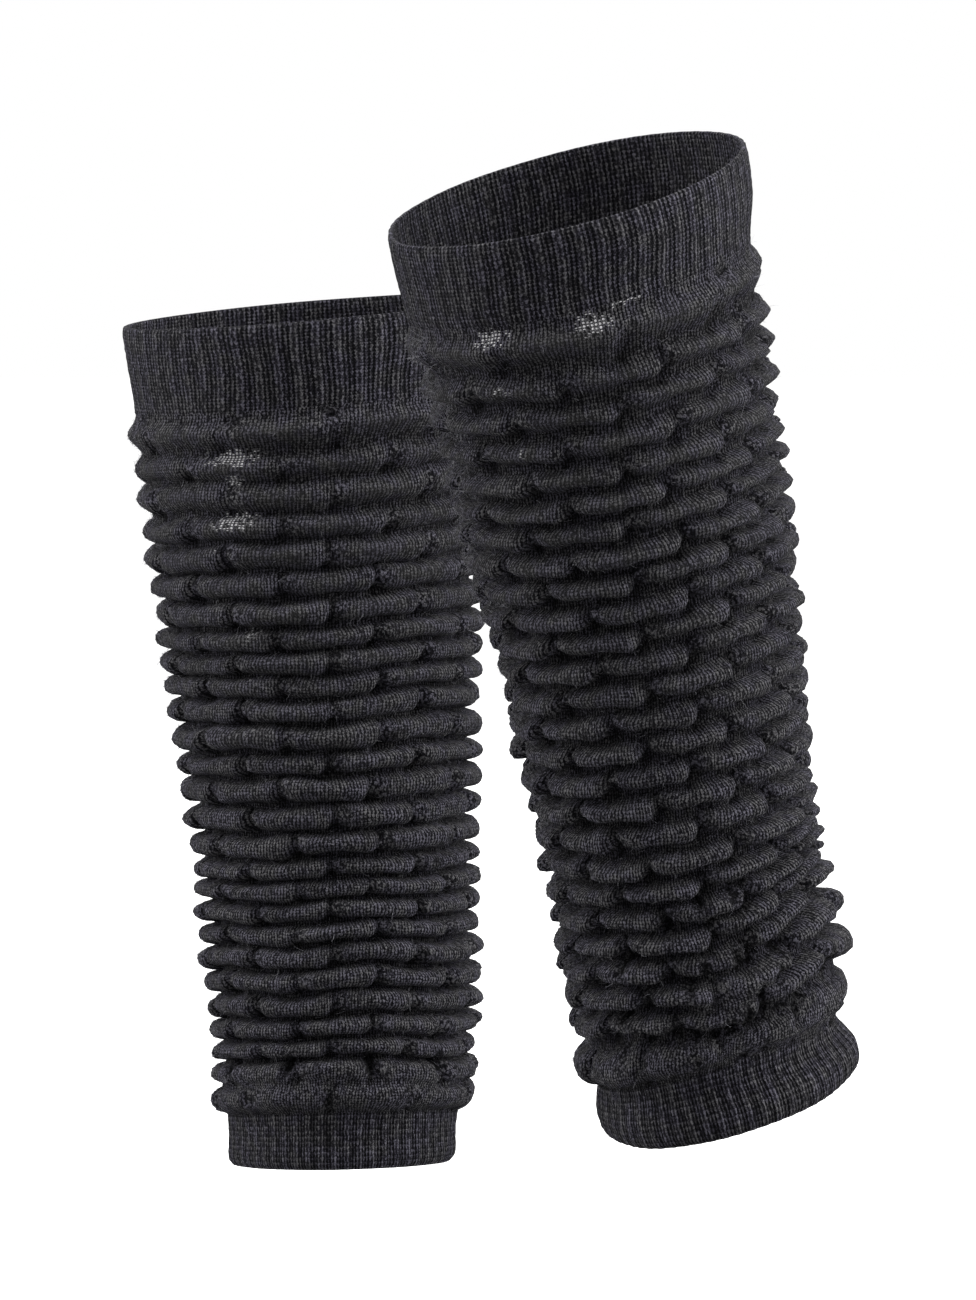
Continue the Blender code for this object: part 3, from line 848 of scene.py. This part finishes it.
def woolMaterial(name, wool):
    # The tone of each stitch goes through a ramp of the yarn's colours, then darkens with painted
    # shade where the cloth lies deep.
    material = bpy.data.materials.new(name)
    material.use_nodes = True
    tree = material.node_tree
    tree.nodes.clear()
    add = partial(addNode, tree)
    kinds = "ADD SUBTRACT MULTIPLY MULTIPLY_ADD SCALE LENGTH FLOOR PINGPONG"
    plus, minus, times, timesPlus, scale, length, whole, fold = [
        {"operation": kind} for kind in kinds.split()
    ]
    colours, numbers = {"data_type": "RGBA"}, {"data_type": "FLOAT"}

    def ranged(value, start, end, least=0.0, most=1.0, curve="LINEAR"):
        # From least to most while the value goes from start to end.
        return add("MapRange", {"interpolation_type": curve}, {
            "Value": value, "From Min": start, "From Max": end, "To Min": least, "To Max": most,
        })

    softly = partial(ranged, curve="SMOOTHSTEP")
    uv = add("UVMap", {"uv_map": "stitches"})
    place = add("TexCoord").outputs["Object"]
    crest, crumple, thin, stretched = [
        add("Attribute", {"attribute_name": mark}).outputs["Fac"]
        for mark in ("crest", "crumple", "thin", "stretched")
    ]

    # Yarn wanders by a part of a stitch every 2 mm, and further where it is crumpled.
    wander = add(
        "TexNoise", inputs={"Vector": place, "Scale": grains["wander"], "Detail": 2.0}
    ).outputs["Color"]
    wander = add("VectorMath", minus, {0: wander, 1: (0.5, 0.5, 0.5)})
    reach = add("Math", timesPlus, {0: crumple, 1: wool["crumpled"], 2: wool["wander"]})
    wander = add("VectorMath", scale, {0: wander, "Scale": reach})
    moved = add("VectorMath", plus, {0: uv, 1: wander})
    wale, course = add("SeparateXYZ", inputs={0: moved}).outputs[:2]

    # Beside is the distance from the wale's edge, 0 to 0.5, and each course climbs toward it.
    # Worn wool has slipped, so each wale's courses are up to a third of a stitch off.
    beside = add("Math", fold, {0: wale, 1: 0.5})
    climb = add("Math", timesPlus, {0: beside, 1: wool["climb"], 2: course})
    slipped = add("Math", whole, {0: wale})
    slipped = add("TexWhiteNoise", {"noise_dimensions": "1D"}, {"W": slipped})
    climb = add("Math", timesPlus, {0: slipped, 1: wool["slip"], 2: climb})
    along = add("Math", fold, {0: climb, 1: 0.5})
    # Painted shade: a stitch is dark in the gap at its corners, a real hole with shade painted in
    # it, by its distance from them times narrow, and darker at its wale's sides and its row's
    # edges.
    corner = add("CombineXYZ", inputs={0: beside, 1: along})
    corner = add("VectorMath", times, {0: corner, 1: wool["narrow"]})
    corner = add("VectorMath", length, {0: corner}).outputs["Value"]
    gap = softly(corner, wool["hole"], wool["holeRim"])
    side = softly(beside, 0.0, wool["sideWidth"], wool["side"])
    stitch = add("Math", times, {0: gap, 1: side})
    row = softly(along, 0.0, wool["rowWidth"], wool["row"], wool["rowLight"])
    stitch = add("Math", times, {0: stitch, 1: row})

    if wool["ribbed"]:
        # Painted light and shade on the ribs: two wales of each rib stand out, lighter with hardly
        # a gap between them. The two sunk wales are darker with painted shade, with dark gaps on
        # both sides, and a painted highlight runs up the edge of the rib where it turns to the
        # light.
        repeat = add("Math", {"operation": "FLOORED_MODULO"}, {0: wale, 1: 4.0})
        joined, sunken, edge = [
            add("Math", {"operation": "COMPARE"}, {0: repeat, 1: middle, 2: span})
            for middle, span in ((1.0, 0.5), (3.0, 1.0), (1.75, 0.20))
        ]
        contrast, least = wool["joined"]
        filled = add("Math", timesPlus, {0: stitch, 1: contrast, 2: least})
        dimmed = add("Math", timesPlus, {0: sunken, 1: wool["sunken"], 2: 1.0})
        stitch = add("Mix", numbers, {0: joined, 2: stitch, 3: filled})
        stitch = add("Math", times, {0: stitch, 1: dimmed})
        stitch = add("Math", timesPlus, {0: edge, 1: wool["edge"], 2: stitch})

    # Crumpled cloth shows curled loops 1.2 mm across in place of rows.
    curl = add("TexVoronoi", inputs={"Vector": place, "Scale": grains["curl"]})
    curled = softly(curl, 0.20, 0.72, 1.45, 0.05)
    curls = ranged(crumple, 0.25, 0.75, 0.0, 0.85)
    stitch = add("Mix", numbers, {0: curls, 2: stitch, 3: curled})

    # No two strokes of a stitch catch the light alike, and loose fibres cross them. Where it is
    # rubbed the wool is lighter, in blotches of 5 to 20 mm.
    stroke = add("Math", times, {0: wale, 1: 2.0})
    stroke = add("CombineXYZ", inputs={0: stroke, 1: climb})
    stroke = add("VectorMath", whole, {0: stroke})
    lit = add("TexWhiteNoise", {"noise_dimensions": "2D"}, {"Vector": stroke})
    lit = ranged(lit, 0.0, 1.0, *wool["lit"])
    stitch = add("Math", times, {0: stitch, 1: lit})
    chance, blotch, fibre, dyed = [
        add(
            "TexNoise",
            inputs={"Vector": place, "Scale": grains[grain], "Detail": detail, "Roughness": rough},
        )
        for grain, detail, rough in (
            ("chance", 1.0, 0.5), ("blotch", 3.0, 0.6), ("fibre", 2.0, 0.6), ("dye", 1.0, 0.5)
        )
    ]
    chance = ranged(chance, 0.3, 0.7, *wool["chance"])
    blotch = ranged(blotch, 0.3, 0.7, *wool["blotch"])
    strong = wool["fibre"]
    uneven = add("Math", timesPlus, {0: fibre, 1: strong, 2: -0.5 * strong})
    uneven = add("Math", plus, {0: uneven, 1: chance})
    tone = add("Math", times, {0: stitch, 1: uneven})
    stray = ranged(fibre, 0.5, 0.75, 0.0, wool["stray"])
    tone = add("Math", plus, {0: tone, 1: stray})
    tone = add("Math", times, {0: tone, 1: blotch})

    # Half of the tone goes into the ramp, so that the brightest strokes have room.
    half = add("Math", times, {0: tone, 1: 0.5})
    colour = add("ValToRGB", inputs={0: half})
    ramp = colour.color_ramp.elements
    # The gap colour paints shade into the stitch holes, and shade paints the yarn's sides and rows.
    ramp[0].position, ramp[0].color = 0.02, fromHex(wool["gap"])
    ramp[1].position, ramp[1].color = 1.0, fromHex(wool["glint"])
    for position, yarn in ((0.15, "shade"), (0.37, "stitch"), (0.58, "fuzz")):
        ramp.new(position).color = fromHex(wool[yarn])
    # A puff's stretched middle is greyer and more even.
    eased = add("Math", times, {0: stretched, 1: 0.45})
    eased = add("Mix", colours, {0: eased, 6: colour, 7: fromHex(wool["stretched"])}).outputs[2]
    # Where the knit is stretched thin the pale ground shows as dots in its gaps, each between
    # two wales and two courses. Only some gaps are open, fewer toward the edge of a thin place.
    between = add("VectorMath", plus, {0: moved, 1: (0.0, 0.5, 0.0)})
    between = add("SeparateXYZ", inputs={0: between}).outputs[1]
    between = add("Math", fold, {0: between, 1: 0.5})
    spread = add("CombineXYZ", inputs={0: beside, 1: between})
    spread = add("VectorMath", length, {0: spread}).outputs["Value"]
    dot = softly(spread, 0.25, 0.45, 1.0, 0.0)
    opening = add("VectorMath", plus, {0: moved, 1: (0.5, 0.5, 0.0)})
    opening = add("VectorMath", whole, {0: opening})
    opening = add("TexWhiteNoise", {"noise_dimensions": "2D"}, {"Vector": opening})
    opening = add("Math", minus, {0: thin, 1: opening})
    opening = ranged(opening, 0.05, 0.25)
    dot = add("Math", times, {0: dot, 1: opening})
    # Painted shade: cloth is darker the deeper it lies between the rolls or ribs, in their pits and
    # on the inside, and its sheen is dimmed with it.
    paintedShade = ranged(crest, -0.9, 0.75, 0.12)
    # The dye varies from faintly olive to faintly violet, in patches of 5 to 10 mm.
    dyed = ranged(dyed, 0.42, 0.60)
    tint = add("Mix", colours, {0: dyed, 6: wool["olive"], 7: wool["violet"]}).outputs[2]
    tinted = add("VectorMath", times, {0: eased, 1: tint})
    shaded = add("VectorMath", scale, {0: tinted, "Scale": paintedShade})
    paled = add("Mix", colours, {0: dot, 6: shaded, 7: fromHex(wool["pale"])}).outputs[2]
    bump = add("Bump", inputs={"Strength": 1.0, "Distance": wool["bumpDepth"], "Height": tone})
    sheen = add("Math", times, {0: paintedShade, 1: wool["sheen"]})
    shader = add("BsdfPrincipled", inputs={
        "Base Color": paled,
        "Roughness": wool["roughness"],
        "Specular IOR Level": wool["specular"],
        "Sheen Weight": sheen,
        "Sheen Roughness": wool["sheenRoughness"],
        "Sheen Tint": fromHex(wool["sheenTint"]),
        "Normal": bump,
    })
    add("OutputMaterial", inputs={0: shader})
    return material


rollWool = woolMaterial("brushed_wool_rolls", woolMerino)
ribWool = woolMaterial("wool_rib", {**woolMerino, **evenWool})


def evenMaterial(name, looks):
    # One shader that looks the same all over.
    material = bpy.data.materials.new(name)
    material.use_nodes = True
    for key, value in looks.items():
        material.node_tree.nodes["Principled BSDF"].inputs[key].default_value = value
    return material


# Single fibres, painted much paler than the yarn: painted light for the light that goes through
# them, bright where they bunch into a rim.
fibreWool = evenMaterial("loose_wool_fibre", {"Base Color": fromHex("#D2D1DA"), "Roughness": 0.8})
print("wool made")

# Half of the 0.3 mm between a body and its cuff, in mm.
halfSeam = 0.15
warmers = (
    ("left", leftLeg, leftBody, leftTopCuff, leftBottomCuff),
    ("right", rightLeg, rightBody, rightTopCuff, rightBottomCuff),
)
for side, leg, body, topCuff, bottomCuff in warmers:
    rolled, bodyEnd, surface = rollBody(side + "_rolls", leg, body)
    fibres = looseFibres(side + "_loose_fibres", surface, body["seed"] + 7)
    fibres.data.materials.append(fibreWool)
    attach(fibres, "root")
    ankleEnd, calfStart = body["start"] - halfSeam, bodyEnd + halfSeam
    ankle = ribCuff(
        side + "_ankle_rib", leg, 0.0, ankleEnd, False, bottomCuff, body["anklePinch"]
    )
    calf = ribCuff(
        side + "_calf_rib", leg, calfStart, leg["length"], True, topCuff, body["calfPinch"]
    )
    for piece, node, slot, wool in (
        (rolled, "_body", "roll_knit", rollWool),
        (ankle, "_bottom_cuff", "rib_knit", ribWool),
        (calf, "_top_cuff", "rib_knit", ribWool),
    ):
        piece.data.materials.append(wool)
        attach(piece, "root")
        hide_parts(side + node)
print("warmers made")

# A wide disc of pale paper, lit from beneath like a light table, well below the hems, in metres.
floorDrop, floorReach, floorCorners = -0.372, 14.0, 96
turn = 2 * math.pi * np.arange(floorCorners) / floorCorners
rim = np.stack([floorReach * np.cos(turn), floorReach * np.sin(turn), 0 * turn + floorDrop], axis=1)
disc = bpy.data.meshes.new("studio_floor")
disc.from_pydata(rim.tolist(), [], [list(range(floorCorners))])
floor = bpy.data.objects.new("studio_floor", disc)
bpy.context.scene.collection.objects.link(floor)
floor.visible_diffuse = False
floor.visible_glossy = False
disc.materials.append(evenMaterial("pale_paper", {
    "Base Color": fromHex("#F6F6F6"),
    "Roughness": 0.9,
    "Emission Color": fromHex("#FFFFFF"),
    "Emission Strength": 1.0,
}))

# Soft boxes round the warmers, each aimed at their middle: place, size and power.
aimedAt = (0.06, -0.06, -0.10)
softBoxes = {
    "left": ((-2.3, 0.1, 0.7), (0.9, 2.0), 33.0),
    "right": ((2.2, -0.38, 0.8), (1.2, 2.0), 36.0),
    "above": ((0.2, -0.8, 2.4), (2.0, 1.2), 26.0),
    "front": ((0.6, -2.6, 1.6), (1.5, 1.0), 10.5),
    "behind": ((0.1, 2.5, 1.0), (2.4, 1.4), 26.0),
}
for name, (place, size, power) in softBoxes.items():
    light = bpy.data.lights.new(name, "AREA")
    light.shape = "RECTANGLE"
    light.size, light.size_y = size
    light.energy = power
    lamp = bpy.data.objects.new(name, light)
    lamp.location = place
    aim = np.array(aimedAt) - np.array(place)
    lamp.rotation_euler = (
        math.atan2(math.hypot(aim[0], aim[1]), -aim[2]), 0.0, math.atan2(-aim[0], aim[1])
    )
    bpy.context.scene.collection.objects.link(lamp)

# The room is white to the eye and much dimmer as a light.
world = bpy.data.worlds.new("white_room")
world.use_nodes = True
room = world.node_tree
room.nodes.clear()
seen = addNode(room, "LightPath").outputs["Is Camera Ray"]
glow = addNode(room, "MapRange", inputs={"Value": seen, "To Min": 0.25, "To Max": 1.0})
backdrop = addNode(room, "Background", inputs={"Color": (1.0, 1.0, 1.0, 1.0), "Strength": glow})
addNode(room, "OutputWorld", inputs={0: backdrop})
bpy.context.scene.world = world
bpy.context.scene.view_settings.view_transform = "Standard"
print("floor and lights set")

lens = bpy.data.cameras.new("camera")
lens.lens = 171.8
lens.sensor_fit = "AUTO"
lens.sensor_width = 36.0
lens.clip_end = 100.0
camera = bpy.data.objects.new("camera", lens)
camera.location = (0.06326, -2.19901, 0.04884)
camera.rotation_euler = (math.radians(86.0), 0.0, 0.0)
bpy.context.scene.collection.objects.link(camera)
bpy.context.scene.camera = camera
print("camera set")
